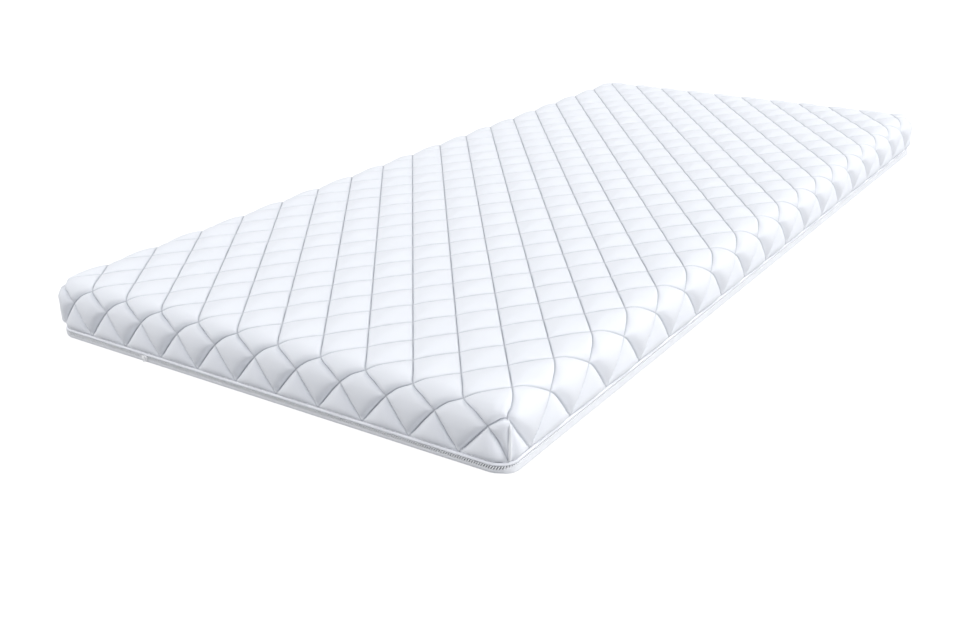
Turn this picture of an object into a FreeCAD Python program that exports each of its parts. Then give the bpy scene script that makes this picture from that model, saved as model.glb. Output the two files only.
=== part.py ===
import FreeCAD, Part
import math
import os
import Sketcher
from FreeCAD import Placement, Rotation, Vector

# A single foam mattress: two bonded foams in a knit liner, a quilted cover that lifts off
# once its perimeter zip is open, and a plain base cover that lies on the slats.
# Frame: X across the width, Y along the length, +Z up, origin under the middle.
# An inset is a distance inwards from the upright planes that bound the quilted sides.

SIZES = {
    "width": 900.0,
    "length": 2000.0,
    "thickness": 100.0,
    "corner_radius": 34.0,  # of the quilted sides, seen from above
    "edge_radius": 32.0,  # of the quilted cover's upper edge
    "seam_level": 17.0,  # where the quilted sides end on the piping
    "face_cloth": 1.2,
    "wadding_cloth": 10.0,
    "backing_cloth": 0.8,
    "seam_fold": 3.0,
    "seam_depth": 9.0,
    "seam_margin": 0.5,
    "liner_gap": 0.5,
    "liner_cloth": 0.8,
    "liner_bottom": 2.3,
    "memory_layer": 35.0,
    "piping_inset": 6.0,  # to the middle of the piping
    "piping_half_depth": 2.2,
    "piping_half_rise": 3.2,
    "piping_cloth": 0.7,
    "piping_slack": 0.1,
    "band_inset": 3.8,
    "band_cloth": 2.0,
    "band_rise": 5.7,
    "panel_cloth": 1.6,
    "tape_inset": 8.4,
    "tape_cloth": 0.7,
    "coil_depth": 2.8,
    "coil_rise": 1.8,
    "split_level": 8.2,  # halfway between the two rows of zip teeth
    "split_gap": 1.0,
    "stop_length": 3.0,
    "stop_depth": 1.0,
    "stop_rise": 1.4,
    "stop_offset": 9.5,
    "slider_place": -235.0,
    "slider_length": 12.0,
    "flange_inset": 2.2,
    "flange_depth": 1.2,
    "flange_low": 3.4,
    "flange_rise": 9.0,
    "core_depth": 1.8,
    "core_rise": 4.1,
    "core_low": 6.15,
    "post_rise": 0.4,
    "post_length": 4.0,
    "inner_inset": 9.5,
    "inner_depth": 1.0,
    "inner_low": 5.5,
    "inner_rise": 5.4,
    "bar_inset": 0.95,
    "bar_level": 9.4,
    "bar_radius": 0.4,
    "bar_length": 6.4,
    "ear_width": 0.8,
    "ear_rise": 1.6,
    "eye_radius": 0.95,
    "eye_hole": 0.5,
    "eye_width": 4.2,
    "tab_depth": 0.9,
    "tab_length": 8.3,
    "label_width": 60.0,
    "label_length": 40.0,
    "label_cloth": 0.3,
    "label_x": 330.0,
    "label_y": -880.0,
}

doc = FreeCAD.newDocument("mattress")
sheet = doc.addObject("Spreadsheet::Sheet", "sizes")
for row, (alias, value) in enumerate(SIZES.items(), start=1):
    sheet.set(f"A{row}", alias)
    sheet.set(f"B{row}", str(value))
    sheet.setAlias(f"B{row}", alias)
doc.recompute()

nodes = []
LEVEL_TOLERANCE = 0.01


def cell(text):
    """The sheet's value for an expression made of aliases, as a number."""
    value = sheet.evalExpression(text)
    return float(getattr(value, "Value", value))


def linked(text):
    """The same expression as another object has to write it, with sizes. before each alias."""
    words = text.split()
    return " ".join(f"sizes.{word}" if word.strip("()") in SIZES else word for word in words)


def keep(item, label):
    """Names a finished sub-part and puts it on the list to be written."""
    item.Label = label
    nodes.append(item)
    return item


def plane(body, role):
    return next(f for f in body.Origin.OriginFeatures if f.Role == role)


def sketch_on(body, name, role, offset):
    sketch = body.newObject("Sketcher::SketchObject", name)
    sketch.AttachmentSupport = [(plane(body, role), "")]
    sketch.MapMode = "FlatFace"
    sketch.setExpression("AttachmentOffset.Base.z", linked(offset))
    return sketch


def add_outline(sketch, inset):
    """A rounded rectangle at an inset from the mattress outline, concentric at its corners."""
    half_x = cell("width / 2 - corner_radius")
    half_y = cell("length / 2 - corner_radius")
    radius = cell(f"corner_radius - ( {inset} )")
    first = sketch.GeometryCount
    up = Vector(0, 0, 1)
    quarter = math.pi / 2
    centres = [(half_x, -half_y), (half_x, half_y), (-half_x, half_y), (-half_x, -half_y)]
    for turn, (x, y) in enumerate(centres):
        circle = Part.Circle(Vector(x, y, 0), up, radius)
        start = (turn - 1) * quarter
        sketch.addGeometry(Part.ArcOfCircle(circle, start, start + quarter), False)
    arcs = [sketch.Geometry[first + turn] for turn in range(4)]
    for turn in range(4):
        line = Part.LineSegment(arcs[turn - 1].EndPoint, arcs[turn].StartPoint)
        sketch.addGeometry(line, False)
    for turn in range(4):
        line = first + 4 + turn
        sketch.addConstraint(Sketcher.Constraint("Tangent", first + (turn - 1) % 4, 2, line, 1))
        sketch.addConstraint(Sketcher.Constraint("Tangent", line, 2, first + turn, 1))
        kind = "Horizontal" if turn % 2 == 0 else "Vertical"
        sketch.addConstraint(Sketcher.Constraint(kind, line))
    for turn in range(1, 4):
        sketch.addConstraint(Sketcher.Constraint("Equal", first, first + turn))
    sketch.addConstraint(Sketcher.Constraint("Symmetric", first, 3, first + 2, 3, -1, 1))
    bound = [
        (Sketcher.Constraint("DistanceX", first + 3, 3, first, 3, 2 * half_x), "span_x",
         "width - 2 * corner_radius"),
        (Sketcher.Constraint("DistanceY", first, 3, first + 1, 3, 2 * half_y), "span_y",
         "length - 2 * corner_radius"),
        (Sketcher.Constraint("Radius", first, radius), "radius", f"corner_radius - ( {inset} )"),
    ]
    for constraint, name, expression in bound:
        index = sketch.addConstraint(constraint)
        unique = f"{name}_{first}"
        sketch.renameConstraint(index, unique)
        sketch.setExpression(f"Constraints.{unique}", linked(expression))


def pad(body, sketch, rise):
    feature = body.newObject("PartDesign::Pad", "pad")
    feature.Profile = sketch
    feature.setExpression("Length", linked(rise))
    sketch.Visibility = False
    doc.recompute()


def new_block(name, inset, low, high):
    """A block that follows the outline at an inset, from one level to another."""
    body = doc.addObject("PartDesign::Body", name)
    sketch = sketch_on(body, f"{name}_outline", "XY_Plane", low)
    add_outline(sketch, inset)
    pad(body, sketch, f"{high} - ( {low} )")
    return body


def new_ring(name, inset, depth, low, high):
    """An upright wall that runs round the mattress at an inset."""
    body = doc.addObject("PartDesign::Body", name)
    sketch = sketch_on(body, f"{name}_outline", "XY_Plane", low)
    add_outline(sketch, inset)
    add_outline(sketch, f"{inset} + {depth}")
    pad(body, sketch, f"{high} - ( {low} )")
    return body


def round_upper_edge(body, radius):
    """Fillets the edges round a block's top face."""
    base = body.Tip
    top = base.Shape.BoundBox.ZMax
    names = [
        f"Edge{index}"
        for index, edge in enumerate(base.Shape.Edges, start=1)
        if edge.BoundBox.ZMin > top - LEVEL_TOLERANCE
    ]
    fillet = body.newObject("PartDesign::Fillet", "round")
    fillet.Base = (base, names)
    fillet.setExpression("Radius", linked(radius))
    doc.recompute()


def open_below(body, cloth):
    """Hollows a block inwards to a skin of one thickness that is open below."""
    base = body.Tip
    low = base.Shape.BoundBox.ZMin
    names = [
        f"Face{index}"
        for index, face in enumerate(base.Shape.Faces, start=1)
        if face.BoundBox.ZMax < low + LEVEL_TOLERANCE
    ]
    before = base.Shape.Volume
    skin = body.newObject("PartDesign::Thickness", "skin")
    skin.Base = (base, names)
    skin.Reversed = True
    skin.Join = "Arc"
    skin.setExpression("Value", linked(cloth))
    doc.recompute()
    if not 0 < body.Shape.Volume < before:
        raise RuntimeError(f"{body.Name} was not hollowed inwards")


def cover_layer(name, inset, cloth):
    """One cloth layer of the quilted cover: over the top and the four sides, open below."""
    body = new_block(name, inset, "seam_level", f"thickness - ( {inset} )")
    round_upper_edge(body, f"edge_radius - ( {inset} )")
    open_below(body, cloth)
    return body


def foam_envelope(name, extra, low):
    """The rounded block that is extra inside the cover's inner surface, from a level up."""
    inset = f"face_cloth + wadding_cloth + backing_cloth + liner_gap + {extra}"
    body = new_block(name, inset, low, f"thickness - ( {inset} )")
    round_upper_edge(body, f"edge_radius - ( {inset} )")
    return body


def swept_piping(name, shrink):
    """A flattened cord that runs round the mattress along the seam."""
    body = doc.addObject("PartDesign::Body", name)
    path = sketch_on(body, f"{name}_path", "XY_Plane", "seam_level - piping_half_rise")
    add_outline(path, "piping_inset")
    section = sketch_on(body, f"{name}_section", "YZ_Plane", "corner_radius - width / 2")
    add_ellipse(section, shrink)
    pipe = body.newObject("PartDesign::AdditivePipe", "pipe")
    pipe.Profile = section
    pipe.Spine = (path, [])
    pipe.Mode = "Standard"
    doc.recompute()
    for sketch in (path, section):
        sketch.Visibility = False
    return body


def add_ellipse(sketch, less):
    """An upright ellipse round the middle of the piping, smaller all round by less."""
    centre_y = cell("piping_inset - length / 2")
    centre_z = cell("seam_level - piping_half_rise")
    rise = cell(f"piping_half_rise - ( {less} )")
    depth = cell(f"piping_half_depth - ( {less} )")
    centre = Vector(centre_y, centre_z, 0)
    ellipse = Part.Ellipse(centre + Vector(0, rise, 0), centre + Vector(depth, 0, 0), centre)
    index = sketch.addGeometry(ellipse, False)
    sketch.exposeInternalGeometry(index)
    major = index + 1
    minor = index + 2
    for constraint, name, expression in (
        (Sketcher.Constraint("DistanceX", -1, 1, index, 3, centre_y), "middle_y",
         "piping_inset - length / 2"),
        (Sketcher.Constraint("DistanceY", -1, 1, index, 3, centre_z), "middle_z",
         "seam_level - piping_half_rise"),
        (Sketcher.Constraint("Distance", major, 2 * rise), "rise",
         f"2 * ( piping_half_rise - ( {less} ) )"),
        (Sketcher.Constraint("Distance", minor, 2 * depth), "depth",
         f"2 * ( piping_half_depth - ( {less} ) )"),
    ):
        number = sketch.addConstraint(constraint)
        unique = f"{name}_{index}"
        sketch.renameConstraint(number, unique)
        sketch.setExpression(f"Constraints.{unique}", linked(expression))
    sketch.addConstraint(Sketcher.Constraint("Vertical", major))


def box(name, x, y, z, size_x, size_y, size_z):
    """A box by its lowest corner and its sizes, each an expression."""
    item = doc.addObject("Part::Box", name)
    for prop, text in (("Length", size_x), ("Width", size_y), ("Height", size_z)):
        item.setExpression(prop, linked(text))
    for axis, text in (("x", x), ("y", y), ("z", z)):
        item.setExpression(f"Placement.Base.{axis}", linked(text))
    return item


def rod(name, radius, long, inset, level):
    """A cylinder along X, centred on the slider's place."""
    item = doc.addObject("Part::Cylinder", name)
    item.Placement = Placement(Vector(), Rotation(Vector(0, 1, 0), 90))
    item.setExpression("Radius", linked(radius))
    item.setExpression("Height", linked(long))
    item.setExpression("Placement.Base.x", linked(f"slider_place - {long} / 2"))
    item.setExpression("Placement.Base.y", linked(f"{inset} - length / 2"))
    item.setExpression("Placement.Base.z", linked(level))
    return item


def fuse(name, pieces):
    item = doc.addObject("Part::MultiFuse", name)
    item.Shapes = pieces
    item.Refine = True
    return item


def combine(kind, name, base, tool):
    """A boolean of two shapes, of the kind Cut or Common."""
    item = doc.addObject(f"Part::{kind}", name)
    item.Base = base
    item.Tool = tool
    return item


def foam_core():
    """The two foams fill one rounded envelope, and the liner is a closed skin round it."""
    top = "thickness - ( face_cloth + wadding_cloth + backing_cloth + liner_gap + liner_cloth )"
    split = f"{top} - memory_layer"
    low = "liner_bottom + liner_cloth"
    keep(foam_envelope("upper_foam", "liner_cloth", split), "memory_foam_layer")
    inset = "face_cloth + wadding_cloth + backing_cloth + liner_gap + liner_cloth"
    keep(new_block("lower_foam", inset, low, split), "support_foam_base")
    outer = foam_envelope("liner_outside", "0", "liner_bottom")
    inner = foam_envelope("liner_inside", "liner_cloth", low)
    keep(combine("Cut", "liner", outer, inner), "inner_liner")


def seam_box(name, x_side, y_side):
    """The folded seam allowance of one upright corner, along the corner's diagonal."""
    item = doc.addObject("Part::Box", name)
    item.setExpression("Length", linked("seam_depth"))
    item.setExpression("Width", linked("seam_fold"))
    item.setExpression("Height", linked("thickness - edge_radius - seam_level"))
    turn = y_side * (90 - 45 * x_side)
    item.Placement = Placement(Vector(), Rotation(Vector(0, 0, 1), turn))
    reach = "( corner_radius - face_cloth - seam_margin - seam_depth )"
    for axis, side, span, across in (
        ("x", x_side, "width", y_side),
        ("y", y_side, "length", -x_side),
    ):
        item.setExpression(
            f"Placement.Base.{axis}",
            linked(
                f"{side} * ( {span} / 2 - corner_radius + {reach} * sqrt(0.5) )"
                f" + ( {across} ) * seam_fold / 2 * sqrt(0.5)"
            ),
        )
    item.setExpression("Placement.Base.z", linked("seam_level"))
    return item


def quilted_cover():
    keep(cover_layer("face", "0", "face_cloth"), "cover_face_knit")
    keep(cover_layer("backing", "face_cloth + wadding_cloth", "backing_cloth"), "cover_backing")
    seams = []
    for end, y_side in (("front", -1), ("back", 1)):
        for hand, x_side in (("left", -1), ("right", 1)):
            seam = seam_box(f"seam_{end}_{hand}", x_side, y_side)
            seams.append(keep(seam, f"corner_seam_{end}_{hand}"))
    slots = doc.addObject("Part::Compound", "seam_slots")
    slots.Links = seams
    skin = cover_layer("wadding_skin", "face_cloth", "wadding_cloth")
    wadding = combine("Cut", "wadding", skin, slots)
    above = box("above_core", "- width / 2", "- length / 2", "thickness - face_cloth - wadding_cloth",
                "width", "length", "wadding_cloth")
    keep(combine("Common", "wadding_top", wadding, above), "top_wadding")
    keep(combine("Cut", "wadding_sides", wadding, above), "side_wadding")
    outside = swept_piping("wrap_outside", "0")
    inside = swept_piping("wrap_inside", "piping_cloth")
    keep(combine("Cut", "wrap", outside, inside), "piping_cover")
    keep(swept_piping("filler", "piping_cloth + piping_slack"), "piping_cord")
    low = "split_level + split_gap / 2"
    keep(new_ring("tape_up", "tape_inset", "tape_cloth", low, "seam_level"), "upper_zip_tape")
    coil_inset = "tape_inset - coil_depth"
    coil = new_ring("coil_up", coil_inset, "coil_depth", low, f"{low} + coil_rise")
    keep(coil, "upper_zip_coil")
    keep(end_stop("stop_up", f"{low} + ( coil_rise - stop_rise ) / 2"), "upper_end_stop")


def end_stop(name, low):
    return box(
        name,
        "slider_place - stop_offset - stop_length / 2",
        "tape_inset - coil_depth - stop_depth - length / 2",
        low,
        "stop_length",
        "stop_depth",
        "stop_rise",
    )


def base_cover():
    panel_inset = "band_inset + band_cloth"
    keep(new_block("panel", panel_inset, "0", "panel_cloth"), "base_panel")
    keep(new_ring("band", "band_inset", "band_cloth", "0", "band_rise"), "base_band")
    high = "split_level - split_gap / 2"
    tape = new_ring("tape_down", "tape_inset", "tape_cloth", "panel_cloth", high)
    keep(tape, "lower_zip_tape")
    coil_inset = "tape_inset - coil_depth"
    coil = new_ring("coil_down", coil_inset, "coil_depth", f"{high} - coil_rise", high)
    keep(coil, "lower_zip_coil")
    keep(end_stop("stop_down", f"{high} - ( coil_rise + stop_rise ) / 2"), "lower_end_stop")
    label = box("label", "label_x", "label_y", "panel_cloth",
                "label_width", "label_length", "label_cloth")
    keep(label, "care_label")


def slider_box(name, long, inset, depth, low, rise):
    """A box centred on the slider's place, at an inset from the front of the mattress."""
    return box(name, f"slider_place - {long} / 2", f"{inset} - length / 2", low,
               long, depth, rise)


def zip_slider():
    """Outer flange and core, a thin post between the two rows, the inner plate and the lug."""
    flange = slider_box("flange", "slider_length", "flange_inset", "flange_depth",
                        "flange_low", "flange_rise")
    core = slider_box("core", "slider_length", "flange_inset + flange_depth", "core_depth",
                      "core_low", "core_rise")
    post_inset = "flange_inset + flange_depth"
    post = slider_box("post", "post_length", post_inset, f"inner_inset - ( {post_inset} )",
                      "split_level - post_rise / 2", "post_rise")
    inner = slider_box("inner", "slider_length", "inner_inset", "inner_depth",
                       "inner_low", "inner_rise")
    ears = []
    for hand, side in (("left", "- 1"), ("right", "1")):
        ear = box(
            f"ear_{hand}",
            f"slider_place + {side} * ( bar_length - ear_width ) / 2 - ear_width / 2",
            "bar_inset - bar_radius - length / 2",
            "bar_level - ear_rise / 2",
            "ear_width",
            "flange_inset - bar_inset + bar_radius",
            "ear_rise",
        )
        ears.append(ear)
    bar = rod("bar", "bar_radius", "bar_length", "bar_inset", "bar_level")
    keep(fuse("slider", [flange, core, post, inner, bar] + ears), "slider_body")
    eye = rod("eye", "eye_radius", "eye_width", "bar_inset", "bar_level")
    tab = slider_box("tab", "eye_width", "bar_inset - tab_depth / 2", "tab_depth",
                     "bar_level - tab_length", "tab_length")
    hole = rod("eye_bore", "eye_hole", "slider_length", "bar_inset", "bar_level")
    keep(combine("Cut", "puller", fuse("puller_blank", [eye, tab]), hole), "zip_puller")


def check_and_write():
    doc.recompute()
    for item in doc.Objects:
        if "Invalid" in item.State or "Error" in item.State:
            raise RuntimeError(f"{item.Name} failed: {item.State}")
    for item in nodes:
        if item.Shape.isNull() or not item.Shape.isValid() or len(item.Shape.Solids) != 1:
            raise RuntimeError(f"{item.Label} is not one valid solid")
    os.makedirs("parts", exist_ok=True)
    for item in nodes:
        item.Shape.exportStep(f"parts/{item.Label}.step")
        box_now = item.Shape.BoundBox
        print(f"{item.Label}: {item.Shape.Volume / 1000:.2f} cm3, "
              f"z {box_now.ZMin:.2f} to {box_now.ZMax:.2f}")


foam_core()
quilted_cover()
base_cover()
zip_slider()
check_and_write()
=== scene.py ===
import math

import bmesh
import bpy
import numpy as np
from mathutils import Matrix, Vector


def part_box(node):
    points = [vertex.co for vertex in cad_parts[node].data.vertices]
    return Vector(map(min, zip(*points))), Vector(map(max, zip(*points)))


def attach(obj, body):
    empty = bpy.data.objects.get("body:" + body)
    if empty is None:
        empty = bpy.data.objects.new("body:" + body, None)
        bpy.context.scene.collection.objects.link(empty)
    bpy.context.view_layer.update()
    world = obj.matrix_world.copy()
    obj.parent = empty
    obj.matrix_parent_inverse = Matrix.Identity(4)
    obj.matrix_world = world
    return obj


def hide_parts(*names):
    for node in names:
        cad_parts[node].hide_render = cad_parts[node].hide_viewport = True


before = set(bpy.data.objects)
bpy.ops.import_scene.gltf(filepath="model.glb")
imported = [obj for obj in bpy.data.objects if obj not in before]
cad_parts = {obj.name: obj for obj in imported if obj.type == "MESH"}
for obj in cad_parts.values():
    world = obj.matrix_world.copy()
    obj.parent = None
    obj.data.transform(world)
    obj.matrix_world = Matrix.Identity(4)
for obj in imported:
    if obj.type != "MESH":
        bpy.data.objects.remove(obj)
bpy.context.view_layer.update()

MM = 0.001
face_low, face_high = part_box("cover_face_knit")
HALF_W = face_high.x
HALF_L = face_high.y
TOP = face_high.z
SEAM_Z = face_low.z
HEM_Z = SEAM_Z - 1.5 * MM

# Quilting: diamonds PITCH_X wide and PITCH_Y long, counted in grid steps from one crossing.
PITCH_X = 2 * HALF_W / 11.1
PITCH_Y = 1.356 * PITCH_X
CELL_WIDTH = 1 / math.hypot(1 / PITCH_X, 1 / PITCH_Y)
STEPS = 24
CROSSING_X = HALF_W - 0.432 * PITCH_X
CROSSING_Y = -HALF_L + 0.822 * PITCH_X
COLUMNS = (-270, 24)
ROWS = (-36, 444)
DART_COLUMNS = (-258, 12)
DART_ROWS = (-12, 420)

# The stitched level of the cover, which the puffs stand out from.
STITCH_INSET = 2.8 * MM
STITCH_TOP = TOP - 1.8 * MM
EDGE_R = 30 * MM
CENTRE_Z = STITCH_TOP - EDGE_R
ARC = EDGE_R * math.pi / 2
DROP = ARC + CENTRE_Z - HEM_Z
CORNER_X = HALF_W - STITCH_INSET - EDGE_R
CORNER_Y = HALF_L - STITCH_INSET - EDGE_R
CORNER_GATHER = 0.15
CROWN = 1.2 * MM

# The quilting of the front end is drawn to the left: more towards the hem, and with a bulge
# of its own below the edge.
FRONT_SKEW = 7 * MM
SKEW_BULGE = 0.6
SKEW_BULGE_AT = 0.24
SKEW_BULGE_REACH = 0.14

# The puffs and the grooves between them.
PUFF = 6.6 * MM
PUFF_FULLNESS = 0.5
PUFF_VARIETY = (0.88, 1.08)
PUFF_LEAN = 0.14
PUFF_KINDS = 64
GROOVE = 1.2 * MM
GROOVE_REACH = 1.6 * MM
SIDE_GROOVE = 4.2 * MM
SIDE_GROOVE_REACH = 6 * MM
CROWDING = 0.6
CROWDING_FADE = 6

# The hem draws the cover in, and the puffs flatten towards it.
HEM_TUCK = 4.2 * MM
HEM_TUCK_REACH = 4.5 * MM
HEM_FADE = 10 * MM
HEM_LIFT = 0.10

# The corner seams, the ridge along each, and the cloth beside it, which is raised on the
# mattress's end and sunk on its long side.
SEAM_TURN = math.radians(57)
SEAM_START = (34 * MM, 42 * MM)
CORNER_MARGIN = 0.02
SEAM_FLAT_REACH = 6 * MM
CORNER_PULL = 4.0 * MM
RIDGE_OUT = 5.2 * MM
RIDGE_WIDE = 1.6 * MM
RIDGE_TALL = 2.2 * MM
RIDGE_TIP_OUT = 0.6 * MM
RIDGE_TIP_WIDE = 0.5 * MM
RIDGE_TIP_TALL = 0.7 * MM
FOLD_RISE = (3.0 * MM, -2.2 * MM)
FOLD_REACH = (9 * MM, 4 * MM)
FOLD_POINT = 1.6 * MM
FOLD_POINT_REACH = 10 * MM

# Cloth simulation, on every second grid point and at ten times the size.
SIM_STRIDE = 2
SIM_SCALE = 10
SIM_FRAMES = 20
SIM_START = 0.55
FULLNESS_LIMITS = (0.70, 1.25)

# Where the rows of quilting fall on the sides, as shares of the rows and of the drop.
LONG_SIDE = ((0, 0), (0.50, 0.39), (1, 1))
SHORT_SIDE = ((0, 0), (0.186, 0.195), (0.39, 0.325), (0.593, 0.505), (1, 1))

RING_RADIUS = 34 * MM
TOOTH_PITCH = 3.8 * MM

# The level where the two rows of teeth meet.
ZIP_SPLIT = (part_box("upper_zip_coil")[0].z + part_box("lower_zip_coil")[1].z) / 2

# The cover's lining, and how deep its face may sink above it.
LINING_INSET = HALF_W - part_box("cover_backing")[1].x - 0.2 * MM
DEEPEST = LINING_INSET - STITCH_INSET - 0.9 * MM


# ---- mesh helpers


def new_object(name, points, faces, material=None, smooth=True):
    mesh = bpy.data.meshes.new(name)
    mesh.from_pydata([tuple(p) for p in points], [], faces)
    mesh.update()
    obj = bpy.data.objects.new(name, mesh)
    bpy.context.scene.collection.objects.link(obj)
    if smooth:
        mesh.polygons.foreach_set("use_smooth", [True] * len(mesh.polygons))
    if material:
        mesh.materials.append(material)
    return obj


def set_uv(obj, uv_of_vertex):
    """A UV map that gives each vertex one place, in metres of cloth."""
    mesh = obj.data
    layer = mesh.uv_layers.new(name="Cloth")
    index = np.empty(len(mesh.loops), np.int32)
    mesh.loops.foreach_get("vertex_index", index)
    layer.data.foreach_set("uv", np.asarray(uv_of_vertex, np.float32)[index].ravel())


def set_value(obj, name, values):
    attribute = obj.data.attributes.new(name, "FLOAT", "POINT")
    attribute.data.foreach_set("value", np.asarray(values, np.float32))


def smoothstep(low, high, value):
    t = np.clip((value - low) / (high - low), 0, 1)
    return t * t * (3 - 2 * t)


def tube_faces(first, rows, cols):
    """Faces of a closed tube of rings: quads between them and a cap at each end."""
    faces = []
    for r in range(rows - 1):
        for c in range(cols):
            a, b = first + r * cols + c, first + r * cols + (c + 1) % cols
            faces.append((a, b, b + cols, a + cols))
    faces.append(tuple(first + c for c in reversed(range(cols))))
    faces.append(tuple(first + (rows - 1) * cols + c for c in range(cols)))
    return faces


def bell(distance, reach):
    """1 at no distance, falling smoothly to nothing past the reach."""
    return np.exp(-(distance / reach) ** 2)


def ripples(x, y, scale, seed, count=5):
    """A smooth, repeatable waviness between about -1 and 1."""
    random = np.random.default_rng(seed)
    total = np.zeros(np.broadcast(x, y).shape)
    for _ in range(count):
        turn = random.uniform(0, 2 * math.pi)
        wave = random.uniform(0.6, 1.6) * 2 * math.pi / scale
        shift = random.uniform(0, 2 * math.pi)
        total = total + np.sin(wave * (x * math.cos(turn) + y * math.sin(turn)) + shift)
    return total / count ** 0.5


# ---- quilted cover


def monotone(knots, value):
    """A smooth curve that rises through the knots and never turns back."""
    x, y = np.array(knots, float).T
    step = np.diff(y) / np.diff(x)
    slope = np.empty(len(x))
    slope[0], slope[-1] = step[0], step[-1]
    slope[1:-1] = 2 * step[:-1] * step[1:] / (step[:-1] + step[1:])
    k = np.clip(np.searchsorted(x, value) - 1, 0, len(step) - 1)
    width = x[k + 1] - x[k]
    t = (value - x[k]) / width
    return (
        y[k] * (1 + 2 * t) * (1 - t) ** 2
        + y[k + 1] * t * t * (3 - 2 * t)
        + width * t * (1 - t) * (slope[k] * (1 - t) - slope[k + 1] * t)
    )


def side_drop(place, edge, end, knots):
    """How far down a side a grid line lies, from where the flat top ends."""
    share = np.clip((place - edge) / (end - edge), 0, 1)
    return DROP * monotone(knots, share)


def grid_axis(index, along_x):
    """For grid lines of one direction: flat place, drop below the edge and side, -1 or 1."""
    if along_x:
        crossing, pitch, edge, ends, knots = CROSSING_X, PITCH_X, CORNER_X, COLUMNS, LONG_SIDE
    else:
        crossing, pitch, edge, ends, knots = CROSSING_Y, PITCH_Y, CORNER_Y, ROWS, SHORT_SIDE
    index = np.asarray(index, float)
    flat = crossing + pitch * index / STEPS
    low_index = (-edge - crossing) / pitch * STEPS
    high_index = (edge - crossing) / pitch * STEPS
    drop_high = side_drop(index, high_index, ends[1], knots)
    drop_low = side_drop(index, low_index, ends[0], knots)
    return np.clip(flat, -edge, edge), drop_low + drop_high, np.where(flat > 0, 1.0, -1.0)


def cover_surface(i, j):
    """Stitched level of the cover at grid lines i and j: places, normals, turn and way down."""
    x, drop_x, side_x = grid_axis(i, True)
    y, drop_y, side_y = grid_axis(j, False)
    dart_x = np.where(side_x > 0, *(grid_axis(c, True)[1] for c in reversed(DART_COLUMNS)))
    dart_y = np.where(side_y > 0, *(grid_axis(r, False)[1] for r in reversed(DART_ROWS)))
    near_x = np.minimum(drop_x, dart_x)
    near_y = np.minimum(drop_y, dart_y)
    slant = dart_y / dart_x * math.tan(SEAM_TURN)
    turn = np.where(near_x > 0, np.arctan2(near_x * slant, np.maximum(near_y, 1e-12)), 0)
    before = turn / SEAM_TURN
    after = (math.pi / 2 - turn) / (math.pi / 2 - SEAM_TURN)
    corner = np.clip(np.minimum(before, after), 0, 1)
    cap = np.hypot(near_x, near_y) * (1 - CORNER_GATHER * np.sin(corner * math.pi / 2) ** 2)
    extra = (drop_x - near_x) + (drop_y - near_y)
    used = np.where(drop_x > near_x, near_x, near_y)
    down = cap + extra * (DROP - cap) / (DROP - used)
    phi = np.minimum(down / EDGE_R, math.pi / 2)
    out = np.stack([side_x * np.sin(turn), side_y * np.cos(turn), 0 * turn], -1)
    up = np.array([0.0, 0.0, 1.0])
    normal = out * np.sin(phi)[..., None] + up * np.cos(phi)[..., None]
    place = np.stack([x, y, CENTRE_Z - np.maximum(down - ARC, 0)], -1) + normal * EDGE_R
    front = (side_y < 0) * (drop_y > 0) * smoothstep(0, 60 * MM, CORNER_X - np.abs(x))
    share = down / DROP
    bulge = SKEW_BULGE * bell(share - SKEW_BULGE_AT, SKEW_BULGE_REACH)
    place[..., 0] -= FRONT_SKEW * front * (share + bulge)
    return place, normal, turn, down


def corner_pull(turn, down):
    """How far the corner seams draw the cover in."""
    off_side = np.minimum(turn, math.pi / 2 - turn) / (math.pi / 4)
    return CORNER_PULL * smoothstep(0, 1, off_side) * smoothstep(10 * MM, 60 * MM, down)


def hem_tuck(down):
    """How far the hem draws the cover in."""
    return HEM_TUCK * np.exp(-(DROP - down) / HEM_TUCK_REACH)


def puff_shape(i, j):
    """Share of the full height of the puffs, and the distance from a stitched line."""
    a = (i + j) / STEPS
    b = (i - j) / STEPS
    random = np.random.default_rng(11)
    fullness = random.uniform(*PUFF_VARIETY, (PUFF_KINDS, PUFF_KINDS))
    lean = random.uniform(-PUFF_LEAN, PUFF_LEAN, (2, PUFF_KINDS, PUFF_KINDS))
    ka = np.floor(a).astype(int) % PUFF_KINDS
    kb = np.floor(b).astype(int) % PUFF_KINDS
    ta = a - np.floor(a)
    tb = b - np.floor(b)
    across = np.maximum(np.sin(math.pi * ta) * np.sin(math.pi * tb), 0)
    leaning = 1 + lean[0][ka, kb] * (ta - 0.5) + lean[1][ka, kb] * (tb - 0.5)
    line = np.minimum(np.minimum(ta, 1 - ta), np.minimum(tb, 1 - tb)) * CELL_WIDTH
    return across ** PUFF_FULLNESS * fullness[ka, kb] * leaning, line


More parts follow.
